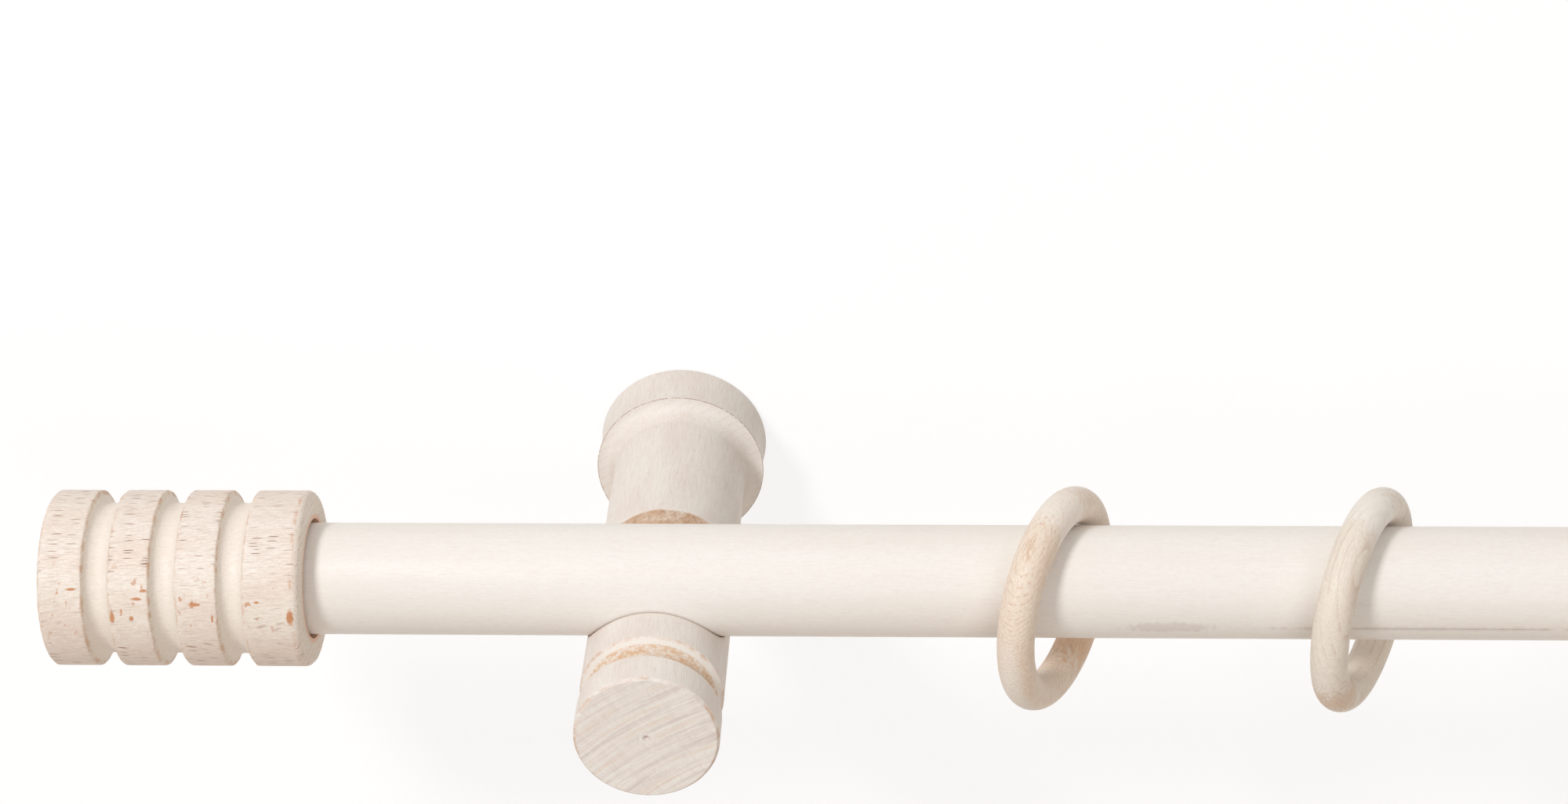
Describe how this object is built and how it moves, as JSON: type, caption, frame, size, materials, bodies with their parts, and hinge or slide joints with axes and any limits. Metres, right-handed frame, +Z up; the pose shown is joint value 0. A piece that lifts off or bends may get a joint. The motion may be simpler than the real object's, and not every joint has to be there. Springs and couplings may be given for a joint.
{
  "type": "curtain rod",
  "caption": "Bleached wooden curtain rod with grooved end caps and loose rings, lying in the saddles of turned wall brackets.",
  "frame": {"origin": "on the wall plane, midway between the two brackets, on the axis of the bracket posts", "axes": "+X along the rod, +Y into the wall, +Z up"},
  "size_m": [1.0692, 0.1802, 0.0641],
  "materials": {
    "rod_wood": "bleached, satin lacquer",
    "cap_wood": "bleached, open grain",
    "post_wood": "bleached, satin",
    "ring_wood": "bleached, satin",
    "brass": "turned",
    "zinc_steel": "zinc plated",
    "nylon": "moulded"
  },
  "bodies": {
    "wall_brackets": {"bracket_post_left": "post_wood", "threaded_insert_left": "brass", "hanger_bolt_left": "zinc_steel", "wall_plug_left": "nylon", "pole_screw_left": "zinc_steel", "bracket_post_right": "post_wood", "threaded_insert_right": "brass", "hanger_bolt_right": "zinc_steel", "wall_plug_right": "nylon", "pole_screw_right": "zinc_steel"},
    "pole": {"rod": "rod_wood"},
    "cap_left": {"end_cap_left": "cap_wood"},
    "cap_right": {"end_cap_right": "cap_wood"},
    "ring_1": {"ring_1": "ring_wood"},
    "ring_2": {"ring_2": "ring_wood"},
    "ring_3": {"ring_3": "ring_wood"},
    "ring_4": {"ring_4": "ring_wood"},
    "ring_5": {"ring_5": "ring_wood"},
    "ring_6": {"ring_6": "ring_wood"},
    "ring_7": {"ring_7": "ring_wood"},
    "ring_8": {"ring_8": "ring_wood"}
  },
  "joints": [
    {"name": "pole_lift", "type": "slide", "parent": "wall_brackets", "child": "pole", "axis": [0, 0, 1], "range_m": [0, 0.04]},
    {"name": "cap_left_pull", "type": "slide", "parent": "pole", "child": "cap_left", "axis": [-1, 0, 0], "range_m": [0, 0.04]},
    {"name": "cap_right_pull", "type": "slide", "parent": "pole", "child": "cap_right", "axis": [1, 0, 0], "range_m": [0, 0.04]},
    {"name": "ring_1_slide", "type": "slide", "parent": "pole", "child": "ring_1", "axis": [1, 0, 0], "range_m": [-0.064, 0.022]},
    {"name": "ring_2_slide", "type": "slide", "parent": "pole", "child": "ring_2", "axis": [1, 0, 0], "range_m": [-0.022, 0.022]},
    {"name": "ring_3_slide", "type": "slide", "parent": "pole", "child": "ring_3", "axis": [1, 0, 0], "range_m": [-0.022, 0.022]},
    {"name": "ring_4_slide", "type": "slide", "parent": "pole", "child": "ring_4", "axis": [1, 0, 0], "range_m": [-0.022, 0.022]},
    {"name": "ring_5_slide", "type": "slide", "parent": "pole", "child": "ring_5", "axis": [1, 0, 0], "range_m": [-0.022, 0.022]},
    {"name": "ring_6_slide", "type": "slide", "parent": "pole", "child": "ring_6", "axis": [1, 0, 0], "range_m": [-0.022, 0.022]},
    {"name": "ring_7_slide", "type": "slide", "parent": "pole", "child": "ring_7", "axis": [1, 0, 0], "range_m": [-0.022, 0.022]},
    {"name": "ring_8_slide", "type": "slide", "parent": "pole", "child": "ring_8", "axis": [1, 0, 0], "range_m": [-0.022, 0.1]}
  ]
}
